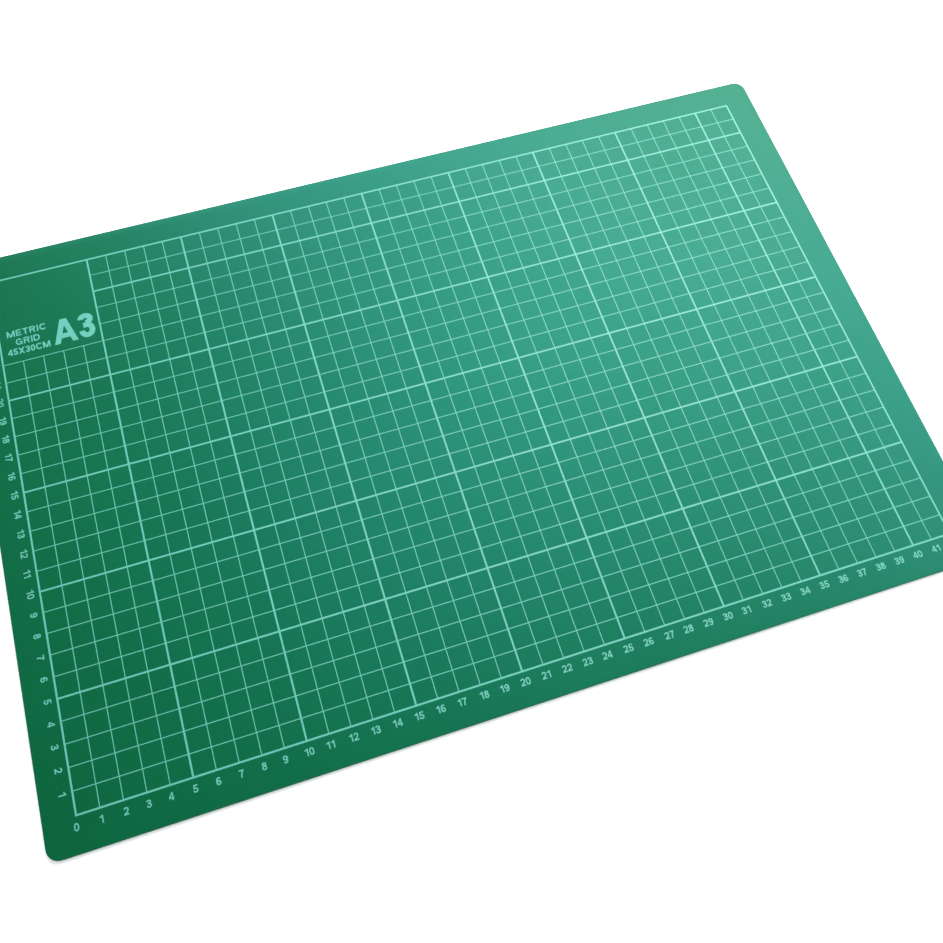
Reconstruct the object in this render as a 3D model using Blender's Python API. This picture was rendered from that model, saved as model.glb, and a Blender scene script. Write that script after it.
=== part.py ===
"""Self healing cutting mat, 450 x 300 x 3 mm.

A die-cut laminate of five vinyl sheets, with the measuring grid screen printed on its top face.
Frame: metres, +Z up. The origin is the centre of the underside, +X runs along the long side and
+Y along the short side, so the ruler's zero corner is at -X, -Y.
"""

import math

import bmesh
import bpy
from mathutils import Vector
from mathutils.geometry import delaunay_2d_cdt

# Outline of every sheet: one die cuts the whole stack.
MAT_LENGTH = 0.450
MAT_WIDTH = 0.300
CORNER_RADIUS = 0.006
CORNER_SEGMENTS = 14

# The stack, from the table up. The sheets are fused; GLUE_LINE is the thin joint between two of them.
SKIN_THICKNESS = 0.00098
BOND_THICKNESS = 0.00010
CORE_THICKNESS = 0.00073
GLUE_LINE = 0.00002
SKIN_EDGE_ROUND = 0.00022  # the soft skins roll over slightly where the die enters and leaves
SKIN_EDGE_SEGMENTS = 3

# The print: a 42 x 27 cm field of centimetre squares, a little off the middle of the sheet.
INK_THICKNESS = 0.000025
INK_GAP = 0.000005
CM = 0.010
FIELD_COLUMNS = 42
FIELD_ROWS = 27
LEFT_MARGIN = 0.0144
BOTTOM_MARGIN = 0.0156
MAIN_LINE_WIDTH = 0.00086
PANEL_COLUMNS = 5  # the blank panel in the top left corner of the field
PANEL_BOTTOM_ROW = 22

# The sheet-size mark in the panel's lower right corner: a capital and a figure, plain grotesque.
MARK_HEIGHT = 0.0141
MARK_STROKE = 0.200  # of the height
MARK_LEFT = 0.0265  # from the field's zero corner
MARK_BASELINE = 0.2243
LETTER_WIDTH = 0.84  # of the height
FIGURE_LEFT = 0.895
FIGURE_WIDTH = 0.60

GREEN_SKIN = (0.004, 0.110, 0.045)
CORE_COLOUR = (0.68, 0.70, 0.66)
BOND_COLOUR = (0.20, 0.34, 0.27)
INK_COLOUR = (0.42, 0.78, 0.68)


def clear_scene():
    for obj in list(bpy.data.objects):
        bpy.data.objects.remove(obj, do_unlink=True)


def material(name, colour, roughness, metallic=0.0):
    mat = bpy.data.materials.new(name)
    mat.use_nodes = True
    bsdf = mat.node_tree.nodes["Principled BSDF"]
    bsdf.inputs["Base Color"].default_value = (*colour, 1.0)
    bsdf.inputs["Roughness"].default_value = roughness
    bsdf.inputs["Metallic"].default_value = metallic
    mat.diffuse_color = (*colour, 1.0)
    return mat


def add_object(name, bm, z, mat, parent):
    """Makes the mesh object of one sheet or print, standing with its underside at height z."""
    bmesh.ops.recalc_face_normals(bm, faces=bm.faces)
    mesh = bpy.data.meshes.new(name)
    bm.to_mesh(mesh)
    bm.free()
    mesh.materials.append(mat)
    obj = bpy.data.objects.new(name, mesh)
    bpy.context.scene.collection.objects.link(obj)
    obj.parent = parent
    obj.location = (0.0, 0.0, z)
    mesh.shade_smooth()
    mesh.set_sharp_from_angle(angle=math.radians(30))
    return obj


def sheet(thickness, round_top=0.0, round_bottom=0.0):
    """A die-cut sheet: a box with its four upright edges rounded to CORNER_RADIUS."""
    bm = bmesh.new()
    bmesh.ops.create_cube(bm, size=1.0)
    bmesh.ops.scale(bm, vec=(MAT_LENGTH, MAT_WIDTH, thickness), verts=bm.verts)
    bmesh.ops.translate(bm, vec=(0.0, 0.0, thickness / 2), verts=bm.verts)
    upright = [e for e in bm.edges if abs(e.verts[0].co.z - e.verts[1].co.z) > thickness / 2]
    bmesh.ops.bevel(
        bm,
        geom=upright,
        offset=CORNER_RADIUS,
        offset_type="OFFSET",
        segments=CORNER_SEGMENTS,
        profile=0.5,
        affect="EDGES",
    )
    for height, radius in ((thickness, round_top), (0.0, round_bottom)):
        if radius <= 0.0:
            continue
        rim = [
            e
            for e in bm.edges
            if all(abs(v.co.z - height) < 1e-7 for v in e.verts)
        ]
        bmesh.ops.bevel(
            bm,
            geom=rim,
            offset=radius,
            offset_type="OFFSET",
            segments=SKIN_EDGE_SEGMENTS,
            profile=0.5,
            affect="EDGES",
        )
    return bm


def field_x(column):
    return -MAT_LENGTH / 2 + LEFT_MARGIN + column * CM


def field_y(row):
    return -MAT_WIDTH / 2 + BOTTOM_MARGIN + row * CM


def main_line_print():
    """The heavy lines as one film of ink: the field's border, every fifth centimetre, and a gap where the panel is."""
    half = MAIN_LINE_WIDTH / 2
    columns = sorted(set(range(0, FIELD_COLUMNS + 1, 5)) | {FIELD_COLUMNS})
    rows = sorted(set(range(0, FIELD_ROWS + 1, 5)) | {FIELD_ROWS})
    xs = [field_x(c) + side for c in columns for side in (-half, half)]
    ys = [field_y(r) + side for r in rows for side in (-half, half)]
    panel_right = field_x(PANEL_COLUMNS) - half
    bm = bmesh.new()
    corners = {}

    def corner(i, j):
        if (i, j) not in corners:
            corners[i, j] = bm.verts.new((xs[i], ys[j], 0.0))
        return corners[i, j]

    for i in range(len(xs) - 1):
        for j in range(len(ys) - 1):
            on_column, on_row = i % 2 == 0, j % 2 == 0
            row = rows[j // 2]
            crosses_panel = (
                xs[i + 1] <= panel_right + 1e-6
                and not on_column
                and PANEL_BOTTOM_ROW < row < FIELD_ROWS
            )
            if (on_column or on_row) and not crosses_panel:
                bm.faces.new(
                    (corner(i, j), corner(i + 1, j), corner(i + 1, j + 1), corner(i, j + 1))
                )
    grown = bmesh.ops.extrude_face_region(bm, geom=bm.faces[:])
    top = [v for v in grown["geom"] if isinstance(v, bmesh.types.BMVert)]
    bmesh.ops.translate(bm, vec=(0.0, 0.0, INK_THICKNESS), verts=top)
    return bm


def arc(cx, cy, rx, ry, start, end, steps):
    """Points along an ellipse, angles in degrees."""
    angles = [math.radians(start + (end - start) * k / steps) for k in range(steps + 1)]
    return [Vector((cx + rx * math.cos(a), cy + ry * math.sin(a))) for a in angles]


def ribbon(points, width):
    """The quads of a stroke along a line of points."""
    sides = []
    for k, here in enumerate(points):
        along = (points[min(k + 1, len(points) - 1)] - points[max(k - 1, 0)]).normalized()
        across = Vector((-along.y, along.x)) * width / 2
        sides.append((here + across, here - across))
    return [[a[0], a[1], b[1], b[0]] for a, b in zip(sides, sides[1:])]


def bar(x0, y0, x1, y1):
    return [Vector(p) for p in ((x0, y0), (x1, y0), (x1, y1), (x0, y1))]


def printed_glyph(polygons, left):
    """The union of plane polygons, in units of the mark's height, as a film of ink."""
    points, faces = [], []
    for polygon in polygons:
        if sum(a.cross(b) for a, b in zip(polygon, polygon[1:] + polygon[:1])) < 0:
            polygon = polygon[::-1]
        faces.append(list(range(len(points), len(points) + len(polygon))))
        points.extend(polygon)
    union = delaunay_2d_cdt(points, [], faces, 1, 1e-4)
    bm = bmesh.new()
    x0, y0 = field_x(0) + MARK_LEFT + left * MARK_HEIGHT, field_y(0) + MARK_BASELINE
    verts = [bm.verts.new((x0 + p.x * MARK_HEIGHT, y0 + p.y * MARK_HEIGHT, 0.0)) for p in union[0]]
    for triangle, inside in zip(union[2], union[5]):
        if inside:
            bm.faces.new([verts[v] for v in triangle])
    bmesh.ops.delete(bm, geom=[v for v in bm.verts if not v.link_faces], context="VERTS")
    bmesh.ops.remove_doubles(bm, verts=bm.verts, dist=5e-6)
    bmesh.ops.dissolve_limit(bm, angle_limit=math.radians(0.5), verts=bm.verts, edges=bm.edges)
    bmesh.ops.triangulate(bm, faces=bm.faces)
    grown = bmesh.ops.extrude_face_region(bm, geom=bm.faces[:])
    top = [v for v in grown["geom"] if isinstance(v, bmesh.types.BMVert)]
    bmesh.ops.translate(bm, vec=(0.0, 0.0, INK_THICKNESS), verts=top)
    return bm


def size_letter():
    """A capital with two slanted legs, a flat apex and a crossbar."""
    w, wide, apex = MARK_STROKE, LETTER_WIDTH, 0.117
    mid = wide / 2
    left = [Vector(p) for p in ((0, 0), (w, 0), (mid - apex + w, 1), (mid - apex, 1))]
    right = [Vector((wide - p.x, p.y)) for p in left]
    return printed_glyph([left, right, bar(0.17, 0.205, wide - 0.17, 0.395)], 0.0)


def size_figure():
    """A figure of two open bowls that meet in a short spur."""
    w, h, mid = MARK_STROKE, MARK_STROKE / 2, FIGURE_WIDTH / 2
    upper = arc(mid - 0.005, 0.755, mid - h - 0.012, 0.245 - h, 178, -92, 20)
    lower = arc(mid, 0.26 + h / 2, mid - h, 0.26 + h / 2 - h, 92, -178, 20)
    spur = bar(mid - 0.11, 0.515 - h, mid + 0.02, 0.515 + h)
    return printed_glyph(ribbon(upper, w) + ribbon(lower, w) + [spur], FIGURE_LEFT)


def main():
    clear_scene()
    mat_root = bpy.data.objects.new("cutting_mat", None)
    bpy.context.scene.collection.objects.link(mat_root)

    skin = material("green_vinyl", GREEN_SKIN, 0.55)
    skin_under = material("green_vinyl_underside", GREEN_SKIN, 0.62)
    bond = material("bond_vinyl", BOND_COLOUR, 0.5)
    bond_lower = material("bond_vinyl_lower", BOND_COLOUR, 0.5)
    core = material("core_vinyl", CORE_COLOUR, 0.6)
    ink = material("grid_ink", INK_COLOUR, 0.5)
    letter_ink = material("size_letter_ink", INK_COLOUR, 0.5)
    figure_ink = material("size_figure_ink", INK_COLOUR, 0.5)

    z = 0.0
    add_object(
        "bottom_skin",
        sheet(SKIN_THICKNESS, round_bottom=SKIN_EDGE_ROUND),
        z,
        skin_under,
        mat_root,
    )
    z += SKIN_THICKNESS + GLUE_LINE
    add_object("lower_bond_film", sheet(BOND_THICKNESS), z, bond_lower, mat_root)
    z += BOND_THICKNESS + GLUE_LINE
    add_object("rigid_core", sheet(CORE_THICKNESS), z, core, mat_root)
    z += CORE_THICKNESS + GLUE_LINE
    add_object("upper_bond_film", sheet(BOND_THICKNESS), z, bond, mat_root)
    z += BOND_THICKNESS + GLUE_LINE
    add_object(
        "top_skin",
        sheet(SKIN_THICKNESS, round_top=SKIN_EDGE_ROUND),
        z,
        skin,
        mat_root,
    )
    z += SKIN_THICKNESS + INK_GAP
    add_object("printed_main_lines", main_line_print(), z, ink, mat_root)
    add_object("printed_size_letter", size_letter(), z, letter_ink, mat_root)
    add_object("printed_size_figure", size_figure(), z, figure_ink, mat_root)


main()
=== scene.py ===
"""Looks of the self healing mat: the laminate's sheets and the whole print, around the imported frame."""

import math

import bmesh
import bpy
from mathutils import Euler, Matrix, Vector
from mathutils.geometry import delaunay_2d_cdt


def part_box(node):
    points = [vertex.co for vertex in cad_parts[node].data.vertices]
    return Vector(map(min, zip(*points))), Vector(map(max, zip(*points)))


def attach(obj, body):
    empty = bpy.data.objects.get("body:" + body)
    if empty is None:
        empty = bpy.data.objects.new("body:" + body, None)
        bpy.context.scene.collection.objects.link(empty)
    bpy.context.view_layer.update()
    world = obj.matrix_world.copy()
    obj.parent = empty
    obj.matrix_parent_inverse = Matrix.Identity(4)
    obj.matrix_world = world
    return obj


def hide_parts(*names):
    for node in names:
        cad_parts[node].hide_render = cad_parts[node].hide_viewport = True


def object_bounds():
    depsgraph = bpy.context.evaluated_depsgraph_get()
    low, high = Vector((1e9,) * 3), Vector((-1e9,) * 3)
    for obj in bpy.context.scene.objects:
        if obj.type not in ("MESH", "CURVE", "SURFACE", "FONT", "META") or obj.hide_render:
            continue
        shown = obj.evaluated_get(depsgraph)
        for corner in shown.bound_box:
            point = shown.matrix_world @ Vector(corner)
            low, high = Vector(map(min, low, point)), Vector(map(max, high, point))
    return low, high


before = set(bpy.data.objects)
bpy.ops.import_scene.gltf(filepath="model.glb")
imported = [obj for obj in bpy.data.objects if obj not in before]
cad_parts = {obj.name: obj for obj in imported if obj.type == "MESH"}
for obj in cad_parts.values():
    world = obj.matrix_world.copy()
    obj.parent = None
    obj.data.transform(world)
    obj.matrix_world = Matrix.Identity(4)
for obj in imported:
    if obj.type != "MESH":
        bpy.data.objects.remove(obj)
cad_lo, cad_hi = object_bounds()

MM = 0.001
CM = 0.010
LENGTH = cad_hi.x - cad_lo.x
WIDTH = cad_hi.y - cad_lo.y
CORNER_RADIUS = 6.0 * MM

# The grid's zero corner, from the heavy border in the frame.
NET_LO, NET_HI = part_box("printed_main_lines")
COLUMNS, ROWS = 42, 27
MAIN_HALF = ((NET_HI.x - NET_LO.x) - COLUMNS * CM) / 2
ORIGIN = Vector((NET_LO.x + MAIN_HALF, NET_LO.y + MAIN_HALF, 0.0))
FINE_HALF = 0.205 * MM
PANEL_COLUMN, PANEL_ROW = 5, 22

INK_TOP = NET_HI.z
SKIN_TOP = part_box("top_skin")[1].z
INK_BASE = SKIN_TOP - 0.008 * MM


# ---------------------------------------------------------------- meshes


def make_object(name, bm, mats, smooth_angle=35.0):
    bmesh.ops.remove_doubles(bm, verts=bm.verts, dist=1e-9)
    bmesh.ops.recalc_face_normals(bm, faces=bm.faces)
    mesh = bpy.data.meshes.new(name)
    bm.to_mesh(mesh)
    bm.free()
    for mat in mats:
        mesh.materials.append(mat)
    mesh.shade_smooth()
    mesh.set_sharp_from_angle(angle=math.radians(smooth_angle))
    obj = bpy.data.objects.new(name, mesh)
    bpy.context.scene.collection.objects.link(obj)
    return obj


def outline(inset, segments=20):
    """The die's rounded rectangle, inset evenly."""
    hx, hy = LENGTH / 2 - inset, WIDTH / 2 - inset
    r = CORNER_RADIUS - inset
    points = []
    for cx, cy, start in (
        (hx - r, hy - r, 0),
        (-hx + r, hy - r, 90),
        (-hx + r, -hy + r, 180),
        (hx - r, -hy + r, 270),
    ):
        for k in range(segments + 1):
            a = math.radians(start + 90 * k / segments)
            points.append((cx + r * math.cos(a), cy + r * math.sin(a)))
    return points


def sheet(profile):
    """A sheet from its edge profile: (inset, z) from the bottom face up to the top face."""
    bm = bmesh.new()
    rings = [[bm.verts.new((x, y, z)) for x, y in outline(inset)] for inset, z in profile]
    for low, high in zip(rings, rings[1:]):
        n = len(low)
        for k in range(n):
            bm.faces.new((low[k], low[(k + 1) % n], high[(k + 1) % n], high[k]))
    bm.faces.new(list(reversed(rings[0])))
    bm.faces.new(rings[-1])
    return bm


def rolled(z_face, direction, radius, steps=6):
    """The rounded rim between a sheet's side and a face at z_face. direction is +1 for a top face, -1 for a bottom one."""
    points = []
    for k in range(steps + 1):
        a = math.pi / 2 * k / steps
        points.append((radius * (1 - math.cos(a)), z_face - direction * radius * (1 - math.sin(a))))
    return points if direction > 0 else list(reversed(points))


def line_net():
    """Every ruled line as one film of ink: fine centimetre lines, heavy border and five-centimetre lines, round the blank panel."""
    col_half = [MAIN_HALF if c % 5 == 0 or c == COLUMNS else FINE_HALF for c in range(COLUMNS + 1)]
    row_half = [MAIN_HALF if r % 5 == 0 or r == ROWS else FINE_HALF for r in range(ROWS + 1)]

    def column_shown(c, y):
        return not (0 < c < PANEL_COLUMN and y > PANEL_ROW)

    def row_shown(r, x):
        return not (PANEL_ROW < r < ROWS and x < PANEL_COLUMN)

    chamfer = 0.025 * MM
    xs = [(c, s) for c in range(COLUMNS + 1) for s in (-1, 1)]
    ys = [(r, s) for r in range(ROWS + 1) for s in (-1, 1)]
    bm = bmesh.new()
    verts = {}

    def vert(i, j, top):
        if (i, j, top) not in verts:
            (c, sx), (r, sy) = xs[i], ys[j]
            dx = col_half[c] - (chamfer if top else 0.0)
            dy = row_half[r] - (chamfer if top else 0.0)
            verts[i, j, top] = bm.verts.new(
                (ORIGIN.x + c * CM + sx * dx, ORIGIN.y + r * CM + sy * dy, INK_TOP if top else INK_BASE)
            )
        return verts[i, j, top]

    cells = set()
    for i in range(len(xs) - 1):
        for j in range(len(ys) - 1):
            c, r = i // 2, j // 2
            on_column, on_row = i % 2 == 0, j % 2 == 0
            if on_column and on_row:
                shown = column_shown(c, r) or row_shown(r, c)
            elif on_column:
                shown = column_shown(c, r + 0.5)
            elif on_row:
                shown = row_shown(r, c + 0.5)
            else:
                shown = False
            if shown:
                cells.add((i, j))
    for i, j in sorted(cells):
        corners = ((i, j), (i + 1, j), (i + 1, j + 1), (i, j + 1))
        bm.faces.new([vert(*p, True) for p in corners])
        bm.faces.new([vert(*p, False) for p in reversed(corners)])
        for k, beside in enumerate(((i, j - 1), (i + 1, j), (i, j + 1), (i - 1, j))):
            if beside not in cells:
                a, b = corners[k], corners[(k + 1) % 4]
                bm.faces.new((vert(*a, False), vert(*b, False), vert(*b, True), vert(*a, True)))
    return bm


# ---------------------------------------------------------------- numerals and letters
# Each glyph stands on y = 0 and is 1 high. It is a list of pieces whose union is the glyph:
# ("path", points) is a stroke of the face's weight with square ends, and ("poly", points) a plain polygon.


def arc(cx, cy, rx, ry, a0, a1, n=22, power=2.0):
    """Points on an ellipse (power 2) or a squarer curve (power over 2), angles in degrees."""
    points = []
    for k in range(n + 1):
        a = math.radians(a0 + (a1 - a0) * k / n)
        c, s = math.cos(a), math.sin(a)
        points.append(
            (
                cx + rx * math.copysign(abs(c) ** (2 / power), c),
                cy + ry * math.copysign(abs(s) ** (2 / power), s),
            )
        )
    return points


def box(x0, y0, x1, y1):
    return ("poly", [(x0, y0), (x1, y0), (x1, y1), (x0, y1)])


def slant(x0, y0, x1, y1, width):
    """A straight slanted stroke with level ends, width wide along x; x0 and x1 are its left edge."""
    return ("poly", [(x0, y0), (x0 + width, y0), (x1 + width, y1), (x1, y1)])


def glyphs(w, k=1.0):
    """The face at stroke weight w and width factor k. Returns {character: (width, pieces)}."""
    h = w / 2
    d = 0.575 * k  # width of a figure
    m = d / 2
    g = {}
    g["0"] = (d, [("path", arc(m, 0.5, m - h, 0.5 - h, 0, 200, 26, 2.3)), ("path", arc(m, 0.5, m - h, 0.5 - h, 180, 380, 26, 2.3))])
    g["1"] = (
        d * 0.86,
        [
            box(d * 0.86 - w - 0.05 * k, 0, d * 0.86 - 0.05 * k, 1),
            ("poly", [(0.03 * k, 0.70), (0.03 * k, 0.815), (0.19 * k, 0.86), (d * 0.86 - w - 0.05 * k + 0.02, 1.0), (d * 0.86 - 0.06 * k, 1.0), (d * 0.86 - 0.06 * k, 0.70)]),
        ],
    )
    bend = arc(m, 0.70, m - h, 0.30 - h, 172, -28, 22)
    lower = [(m + (m - h) * 0.62, 0.455), (m - 0.02, 0.30), (h + 0.03, 0.16), (h + 0.005, 0.06)]
    g["2"] = (d, [("path", bend + lower), box(0.0, 0.0, d, w)])
    g["3"] = (
        d,
        [
            ("path", arc(m - 0.005, 0.755, m - h - 0.012, 0.245 - h, 178, -92, 24)),
            ("path", arc(m, 0.265 + h / 2 - 0.005, m - h, 0.265 + h / 2 - h, 92, -178, 24)),
            box(m - 0.11 * k, 0.515 - h, m + 0.02, 0.515 + h),
        ],
    )
    g["4"] = (
        d + 0.01,
        [
            box(d * 0.60, 0, d * 0.60 + w, 1),
            box(0.0, 0.215, d + 0.01, 0.215 + w * 0.95),
            ("poly", [(0.0, 0.215), (0.0, 0.215 + w * 1.15), (d * 0.60 - 0.01, 1.0), (d * 0.60 + w, 1.0), (d * 0.60 + 0.01, 1.0 - w * 1.05), (w * 0.98, 0.215 + w * 0.8)]),
        ],
    )
    g["5"] = (
        d,
        [
            box(0.085 * k, 1 - w * 0.95, d - 0.03, 1),
            ("poly", [(0.085 * k, 1.0), (0.085 * k + w, 1.0), (0.035 * k + w, 0.50), (0.035 * k, 0.46), (0.035 * k, 0.50)]),
            ("path", arc(m - 0.01, 0.325, m - h + 0.01, 0.325 - h, 142, -172, 28)),
        ],
    )
    six = [
        ("path", arc(m, 0.315, m - h, 0.315 - h, 0, 200, 24)),
        ("path", arc(m, 0.315, m - h, 0.315 - h, 180, 380, 24)),
        ("path", arc(m + 0.012, 0.5, m - h + 0.012, 0.5 - h, 38, 222, 24, 2.15)),
    ]
    g["6"] = (d, six)
    g["9"] = (d, [(kind, [(d - x, 1 - y) for x, y in pts]) for kind, pts in six])
    g["7"] = (
        d,
        [
            box(0.005, 1 - w * 0.98, d, 1),
            ("path", [(d - h * 1.05, 1 - w * 0.6), (d - h * 1.15, 0.865), (m + 0.075, 0.62), (m + 0.005, 0.42), (m - 0.045, 0.20), (m - 0.06, 0.0)]),
        ],
    )
    g["8"] = (
        d,
        [
            ("path", arc(m, 0.755, m - h - 0.022, 0.245 - h, 0, 200, 22)),
            ("path", arc(m, 0.755, m - h - 0.022, 0.245 - h, 180, 380, 22)),
            ("path", arc(m, 0.265 + h / 2, m - h, 0.265 - h / 2, 0, 200, 22)),
            ("path", arc(m, 0.265 + h / 2, m - h, 0.265 - h / 2, 180, 380, 22)),
        ],
    )
    # Capitals, of which only what the size panel needs.
    v = w * 1.06
    g["A"] = (
        0.84 * k,
        [
            slant(0.0, 0, 0.303 * k, 1, w),
            slant(0.84 * k - w, 0, 0.537 * k - w, 1, w),
            box(0.17 * k, 0.205, 0.67 * k, 0.205 + w * 0.95),
        ],
    )
    g["C"] = (0.80 * k, [("path", arc(0.42 * k, 0.5, 0.42 * k - h, 0.5 - h, 38, 322, 40, 2.1))])
    g["G"] = (
        0.86 * k,
        [
            ("path", arc(0.42 * k, 0.5, 0.42 * k - h, 0.5 - h, 38, 318, 40, 2.1)),
            box(0.46 * k, 0.37, 0.82 * k, 0.37 + w * 0.85),
            box(0.82 * k - w * 0.9, 0.02, 0.82 * k, 0.37 + w * 0.4),
        ],
    )
    g["D"] = (
        0.78 * k,
        [
            box(0.0, 0, w, 1),
            box(w * 0.5, 0, 0.36 * k, w * 0.95),
            box(w * 0.5, 1 - w * 0.95, 0.36 * k, 1),
            ("path", arc(0.34 * k, 0.5, 0.44 * k - h, 0.5 - w * 0.475, 92, -92, 30, 2.15)),
        ],
    )
    g["E"] = (0.66 * k, [box(0, 0, w, 1), box(0, 0, 0.66 * k, w * 0.93), box(0, 1 - w * 0.93, 0.64 * k, 1), box(0, 0.5 - w * 0.42, 0.60 * k, 0.5 + w * 0.48)])
    g["I"] = (w, [box(0, 0, w, 1)])
    g["M"] = (
        0.98 * k,
        [
            box(0, 0, w * 0.96, 1),
            box(0.98 * k - w * 0.96, 0, 0.98 * k, 1),
            slant(0.49 * k - v * 0.55, 0, 0.0, 1, v * 1.1),
            slant(0.49 * k - v * 0.55, 0, 0.98 * k - v * 1.1, 1, v * 1.1),
        ],
    )
    g["R"] = (
        0.76 * k,
        [
            box(0, 0, w, 1),
            box(w * 0.5, 1 - w * 0.93, 0.44 * k, 1),
            box(w * 0.5, 0.415, 0.44 * k, 0.415 + w * 0.9),
            ("path", arc(0.42 * k, 0.708, 0.30 * k - h, 0.292 - w * 0.46, 92, -92, 20, 2.1)),
            slant(0.73 * k - v, 0, 0.36 * k, 0.45, v),
        ],
    )
    g["T"] = (0.72 * k, [box(0, 1 - w * 0.95, 0.72 * k, 1), box(0.36 * k - h, 0, 0.36 * k + h, 1)])
    g["X"] = (0.80 * k, [slant(0.0, 0, 0.80 * k - v * 1.12, 1, v * 1.12), slant(0.80 * k - v * 1.12, 0, 0.0, 1, v * 1.12)])
    return g


def stroke_quads(points, half):
    """A ribbon of quads along a polyline, mitred at its bends."""
    sides = []
    for k, (x, y) in enumerate(points):
        before = Vector(points[max(k - 1, 0)])
        after = Vector(points[min(k + 1, len(points) - 1)])
        here = Vector((x, y))
        t0 = (here - before).normalized() if k else None
        t1 = (after - here).normalized() if k < len(points) - 1 else None
        t = ((t0 or t1) + (t1 or t0)).normalized()
        n = Vector((-t.y, t.x))
        reach = half / max(0.5, t.dot(t0 or t1))
        sides.append((here + n * reach, here - n * reach))
    return [[a[0], a[1], b[1], b[0]] for a, b in zip(sides, sides[1:])]


def united(pieces, half):
    """The glyph's pieces as triangles of one plane figure: (points, triangles)."""
    points, faces = [], []
    for kind, pts in pieces:
        for poly in stroke_quads(pts, half) if kind == "path" else [[Vector(p) for p in pts]]:
            area = sum(a.x * b.y - b.x * a.y for a, b in zip(poly, poly[1:] + poly[:1]))
            if area < 0:
                poly = list(reversed(poly))
            faces.append(list(range(len(points), len(points) + len(poly))))
            points.extend(poly)
    out = delaunay_2d_cdt(points, [], faces, 1, 1e-5)
    return out[0], [t for t, inside in zip(out[2], out[5]) if inside]


class Face:
    """One size and weight of figures and capitals, ready to be set in ink."""

    def __init__(self, height, weight, k=1.0, spacing=0.1):
        self.height, self.spacing = height, spacing
        self.half = weight / 2
        self.set = glyphs(weight, k)
        self.flat = {}

    def width(self, text):
        return self.height * (sum(self.set[c][0] for c in text) + self.spacing * (len(text) - 1))

    def put(self, bm, text, centre, turn=0.0):
        """Sets text centred on centre = (x, y), turned by that many degrees."""
        pen = -self.width(text) / 2
        spin = Matrix.Rotation(math.radians(turn), 2)
        for c in text:
            if c not in self.flat:
                self.flat[c] = united(self.set[c][1], self.half)
            points, triangles = self.flat[c]
            low, high = [], []
            for p in points:
                q = spin @ Vector((pen + p.x * self.height, (p.y - 0.5) * self.height))
                low.append(bm.verts.new((centre[0] + q.x, centre[1] + q.y, INK_BASE)))
                high.append(bm.verts.new((centre[0] + q.x, centre[1] + q.y, INK_TOP)))
            used = {}
            for t in triangles:
                bm.faces.new([high[v] for v in t])
                bm.faces.new([low[v] for v in reversed(t)])
                for a, b in zip(t, t[1:] + t[:1]):
                    used[a, b] = True
            for a, b in used:
                if (b, a) not in used:
                    bm.faces.new((low[a], low[b], high[b], high[a]))
            pen += self.height * (self.set[c][0] + self.spacing)


def grid_point(x_cm, y_cm):
    return (ORIGIN.x + x_cm * CM, ORIGIN.y + y_cm * CM)


# ---------------------------------------------------------------- materials


class Nodes:
    """Short hand for building one material's nodes."""

    def __init__(self, name):
        self.mat = bpy.data.materials.new(name)
        self.mat.use_nodes = True
        self.tree = self.mat.node_tree
        self.bsdf = self.tree.nodes["Principled BSDF"]
        self.coord = self.tree.nodes.new("ShaderNodeTexCoord").outputs["Object"]

    def node(self, kind, **values):
        n = self.tree.nodes.new(kind)
        for key, value in values.items():
            if hasattr(n, key):
                setattr(n, key, value)
            else:
                n.inputs[key].default_value = value
        return n

    def link(self, a, b):
        self.tree.links.new(a, b)

    def stretched(self, scale):
        n = self.node("ShaderNodeMapping")
        n.inputs["Scale"].default_value = scale
        self.link(self.coord, n.inputs["Vector"])
        return n.outputs["Vector"]

    def noise(self, scale, detail=2.0, roughness=0.5, vector=None):
        n = self.node("ShaderNodeTexNoise")
        n.inputs["Scale"].default_value = scale
        n.inputs["Detail"].default_value = detail
        n.inputs["Roughness"].default_value = roughness
        self.link(vector if vector is not None else self.coord, n.inputs["Vector"])
        return n.outputs["Fac"]

    def remap(self, value, a0, a1, b0, b1):
        n = self.node("ShaderNodeMapRange")
        for name, v in (("From Min", a0), ("From Max", a1), ("To Min", b0), ("To Max", b1)):
            n.inputs[name].default_value = v
        self.link(value, n.inputs["Value"])
        return n.outputs["Result"]

    def math(self, operation, a, b):
        n = self.node("ShaderNodeMath")
        n.operation = operation
        for socket, v in ((n.inputs[0], a), (n.inputs[1], b)):
            if isinstance(v, (int, float)):
                socket.default_value = v
            else:
                self.link(v, socket)
        return n.outputs["Value"]

    def mix(self, fac, a, b):
        n = self.node("ShaderNodeMix")
        n.data_type = "RGBA"
        for socket, v in ((n.inputs[0], fac), (n.inputs[6], a), (n.inputs[7], b)):
            if isinstance(v, tuple):
                socket.default_value = (*v, 1.0)
            elif isinstance(v, (int, float)):
                socket.default_value = v
            else:
                self.link(v, socket)
        return n.outputs[2]

    def bump(self, height, strength, distance, normal=None):
        n = self.node("ShaderNodeBump")
        n.inputs["Strength"].default_value = strength
        n.inputs["Distance"].default_value = distance
        self.link(height, n.inputs["Height"])
        if normal is not None:
            self.link(normal, n.inputs["Normal"])
        return n.outputs["Normal"]


GREEN = (0.0003, 0.0890, 0.0133)
GREEN_SHEEN = (0.111, 0.849, 1.0, 1.0)
INK = (0.088, 0.385, 0.303)
ROUGHNESS = 0.50


def scaled(colour, k):
    return tuple(c * k for c in colour)


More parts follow.
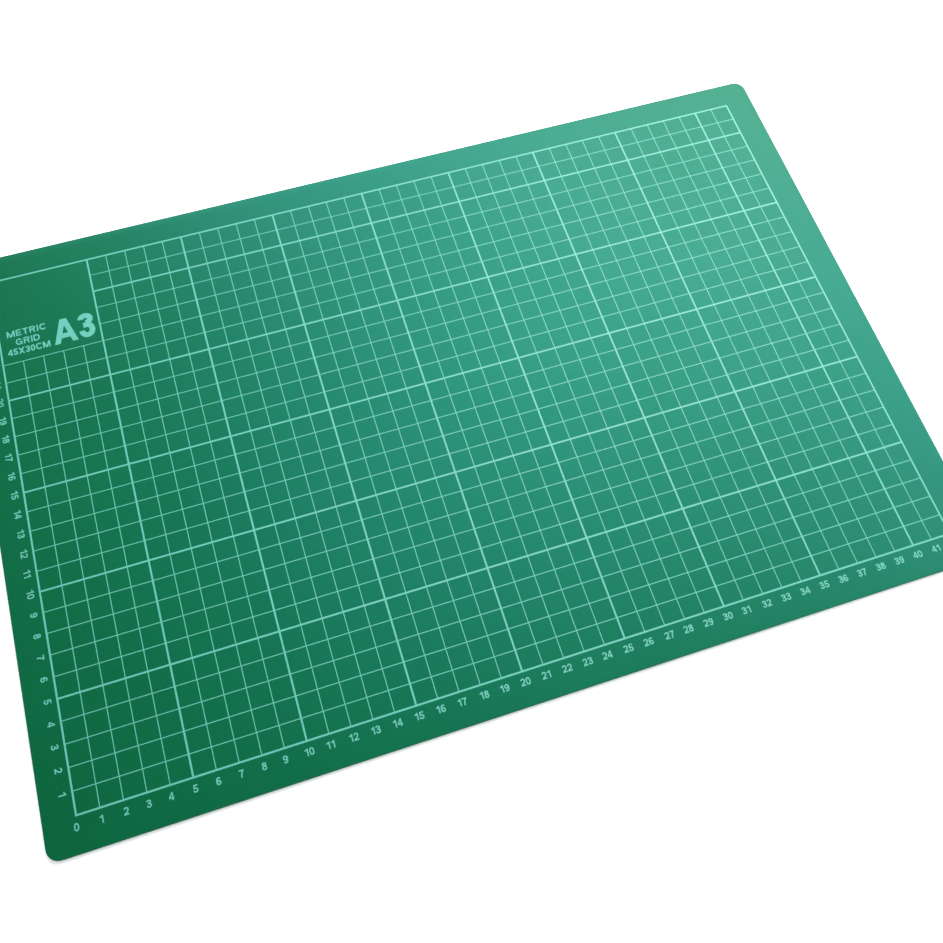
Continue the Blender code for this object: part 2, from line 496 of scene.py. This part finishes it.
def vinyl(name, colour, roughness, grain=1.0, streaks=1.0):
    """Soft calendered vinyl: a fine pebbled grain, faint streaks along the roll, cloudy colour and sheen."""
    m = Nodes(name)
    cloud = m.noise(14.0, 3.0, 0.55)
    fleck = m.noise(900.0, 2.0, 0.6)
    streak = m.noise(60.0, 3.0, 0.6, m.stretched((0.25, 7.0, 1.0)))
    shade = m.math("ADD", m.remap(cloud, 0.3, 0.7, 0.0, 0.55), m.remap(fleck, 0.3, 0.7, 0.0, 0.25))
    shade = m.math("ADD", shade, m.remap(streak, 0.3, 0.7, 0.0, 0.20 * streaks))
    m.link(m.mix(shade, scaled(colour, 0.93), scaled(colour, 1.07)), m.bsdf.inputs["Base Color"])
    rough = m.math("ADD", m.remap(cloud, 0.3, 0.7, roughness - 0.02, roughness + 0.02), m.remap(fleck, 0.3, 0.7, -0.03, 0.03))
    m.link(rough, m.bsdf.inputs["Roughness"])
    pebble = m.noise(1500.0, 2.0, 0.6)
    coarse = m.noise(420.0, 2.0, 0.5)
    first = m.bump(coarse, 0.10 * grain, 0.00010)
    m.link(m.bump(pebble, 0.16 * grain, 0.00004, first), m.bsdf.inputs["Normal"])
    m.bsdf.inputs["IOR"].default_value = 1.5
    m.bsdf.inputs["Specular IOR Level"].default_value = 0.727
    m.bsdf.inputs["Specular Tint"].default_value = GREEN_SHEEN
    return m


def ink_material(name):
    """Screen-printed ink: slightly thin in places, with the vinyl's grain showing through it."""
    m = Nodes(name)
    thin = m.noise(2600.0, 2.0, 0.6)
    cloud = m.noise(35.0, 2.0, 0.5)
    pin = m.remap(thin, 0.60, 0.74, 0.0, 0.45)
    body = m.mix(m.remap(cloud, 0.3, 0.7, 0.0, 1.0), scaled(INK, 0.965), scaled(INK, 1.035))
    m.link(m.mix(pin, body, scaled(GREEN, 1.2)), m.bsdf.inputs["Base Color"])
    m.link(m.remap(thin, 0.3, 0.7, 0.40, 0.50), m.bsdf.inputs["Roughness"])
    m.link(m.bump(m.noise(1500.0, 2.0, 0.6), 0.10, 0.00003), m.bsdf.inputs["Normal"])
    m.bsdf.inputs["Specular IOR Level"].default_value = 0.38
    return m.mat


top_mat = vinyl("mat_top_vinyl", GREEN, ROUGHNESS)
under_mat = vinyl("mat_under_vinyl", scaled(GREEN, 0.95), 0.56, grain=1.6)
core_mat = vinyl("mat_core_vinyl", (0.55, 0.58, 0.53), 0.5, grain=0.6, streaks=2.0)
bond_mat = vinyl("mat_bond_vinyl", (0.10, 0.24, 0.16), 0.5, grain=0.6)
ink_mat = ink_material("print_ink")


# ---------------------------------------------------------------- the laminate

lo = {n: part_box(n)[0].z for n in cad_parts}
hi = {n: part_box(n)[1].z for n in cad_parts}
joint = [
    (hi["bottom_skin"] + lo["lower_bond_film"]) / 2,
    (hi["lower_bond_film"] + lo["rigid_core"]) / 2,
    (hi["rigid_core"] + lo["upper_bond_film"]) / 2,
    (hi["upper_bond_film"] + lo["top_skin"]) / 2,
]

SHEETS = (
    # node, material slot, material, edge profile from the bottom up
    ("bottom_skin", "green_vinyl_underside", under_mat, rolled(lo["bottom_skin"], -1, 0.16 * MM) + [(0.02 * MM, joint[0])]),
    ("lower_bond_film", "bond_vinyl_lower", bond_mat, [(0.035 * MM, joint[0]), (0.035 * MM, joint[1])]),
    ("rigid_core", "core_vinyl", core_mat, [(0.05 * MM, joint[1]), (0.03 * MM, (joint[1] + joint[2]) / 2), (0.05 * MM, joint[2])]),
    ("upper_bond_film", "bond_vinyl", bond_mat, [(0.035 * MM, joint[2]), (0.035 * MM, joint[3])]),
    ("top_skin", "green_vinyl", top_mat, [(0.02 * MM, joint[3])] + rolled(hi["top_skin"], 1, 0.30 * MM)),
)
for node, slot_name, mat, profile in SHEETS:
    piece = make_object("mat_" + node, sheet(profile), [mat.mat])
    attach(piece, "root")
    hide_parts(node)


# ---------------------------------------------------------------- the print

lines = make_object("ruled_lines", line_net(), [ink_mat])
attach(lines, "root")
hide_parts("printed_main_lines")

# The long ruler's figures that don't stand centred on their own line, and how far off they are (mm).
OFF_LINE = {0: -0.5, 2: 0.4, 4: -0.4, 9: -0.6, 11: -0.4, 18: 0.4, 24: -0.4, 27: 0.5, 31: -0.5}
figures = Face(3.27 * MM, 0.175, 1.14, 0.09)
bm = bmesh.new()
for n in range(42):
    x, y = grid_point(n, 0)
    figures.put(bm, str(n), (x + OFF_LINE.get(n, 0.0) * MM, y - 4.68 * MM))
print_pieces = [make_object("long_ruler_numerals", bm, [ink_mat])]
bm = bmesh.new()
for n in range(1, 22):
    x, y = grid_point(0, n)
    figures.put(bm, str(n), (x - 4.22 * MM, y), turn=-90)
print_pieces.append(make_object("short_ruler_numerals", bm, [ink_mat]))

mark = Face(14.1 * MM, 0.200)
for character, node, slot_name in (("A", "printed_size_letter", "size_letter_ink"), ("3", "printed_size_figure", "size_figure_ink")):
    glyph_lo, glyph_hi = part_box(node)
    bm = bmesh.new()
    mark.put(bm, character, ((glyph_lo.x + glyph_hi.x) / 2, (glyph_lo.y + glyph_hi.y) / 2))
    piece = make_object("size_mark_" + character, bm, [ink_mat])
    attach(piece, "root")
    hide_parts(node)

bm = bmesh.new()
for text, base, k, spacing in (("METRIC", 23.50, 1.12, 0.17), ("GRID", 22.97, 1.12, 0.15), ("45X30CM", 22.44, 1.06, 0.11)):
    caps = Face(3.6 * MM, 0.195, k, spacing)
    x, y = grid_point(1.385, base)
    caps.put(bm, text, (x, y + 1.8 * MM))
print_pieces.append(make_object("sheet_size_wording", bm, [ink_mat]))
for piece in print_pieces:
    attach(piece, "root")


# ---------------------------------------------------------------- stage, light, camera

bm = bmesh.new()
bmesh.ops.create_grid(bm, x_segments=4, y_segments=4, size=12.0)
floor_nodes = Nodes("studio_floor")
floor_nodes.bsdf.inputs["Base Color"].default_value = (0.93, 0.93, 0.93, 1.0)
floor_nodes.bsdf.inputs["Roughness"].default_value = 0.9
floor_nodes.bsdf.inputs["Specular IOR Level"].default_value = 0.0
floor_nodes.bsdf.inputs["Emission Color"].default_value = (1.0, 1.0, 1.0, 1.0)
floor_nodes.bsdf.inputs["Emission Strength"].default_value = 0.45
floor = make_object("studio_floor", bm, [floor_nodes.mat])
floor.location.z = cad_lo.z - 0.02 * MM

world = bpy.data.worlds.new("studio")
bpy.context.scene.world = world
world.use_nodes = True
background = world.node_tree.nodes["Background"]
background.inputs["Color"].default_value = (1.0, 1.0, 1.0, 1.0)
# The room is dim overhead and pale round the horizon, where it meets the floor.
direction = world.node_tree.nodes.new("ShaderNodeTexCoord").outputs["Generated"]
split = world.node_tree.nodes.new("ShaderNodeSeparateXYZ")
wall = world.node_tree.nodes.new("ShaderNodeMapRange")
wall.interpolation_type = "SMOOTHSTEP"
for name, value in (("From Min", 0.06), ("From Max", 0.36), ("To Min", 0.70), ("To Max", 0.235)):
    wall.inputs[name].default_value = value
world.node_tree.links.new(direction, split.inputs["Vector"])
world.node_tree.links.new(split.outputs["Z"], wall.inputs["Value"])
world.node_tree.links.new(wall.outputs["Result"], background.inputs["Strength"])


def soft_light(name, where, towards, size, power, colour):
    data = bpy.data.lights.new(name, "AREA")
    data.shape = "RECTANGLE"
    data.size, data.size_y = size
    data.energy = power
    data.color = colour
    obj = bpy.data.objects.new(name, data)
    bpy.context.scene.collection.objects.link(obj)
    obj.location = where
    obj.rotation_euler = (Vector(towards) - Vector(where)).to_track_quat("-Z", "Y").to_euler()
    return obj


COOL, WARM = (0.681, 0.866, 1.0), (1.0, 0.786, 0.681)
soft_light("overhead", (0.10, 0.35, 1.20), (0, 0, 0), (0.6, 0.6), 5.2, COOL)
soft_light("overhead_right", (0.55, 0.50, 1.10), (0, 0, 0), (0.6, 0.6), 11.1, WARM)
soft_light("far_corner", (0.90, 0.90, 0.90), (0.1, 0.1, 0), (0.9, 0.9), 15.4, WARM)
soft_light("right_side", (1.30, 0.10, 0.70), (0, 0, 0), (0.9, 0.9), 18.0, COOL)
soft_light("far_side", (0.10, 1.30, 0.70), (0, 0, 0), (0.9, 0.9), 16.1, COOL)

camera_data = bpy.data.cameras.new("camera")
camera = bpy.data.objects.new("camera", camera_data)
bpy.context.scene.collection.objects.link(camera)
camera_data.sensor_width = 36.0
camera_data.lens = 36.84
camera_data.shift_x = 0.01853
camera_data.shift_y = -0.04015
camera_data.clip_start = 0.01
camera_data.clip_end = 60.0
camera.location = (ORIGIN.x + 0.13663, ORIGIN.y - 0.04728, SKIN_TOP + 0.44351)
camera.rotation_euler = Euler([math.radians(a) for a in (22.0657, -1.9648, -17.6283)], "XYZ")
bpy.context.scene.camera = camera

bpy.context.scene.view_settings.view_transform = "Standard"
bpy.context.scene.view_settings.look = "None"
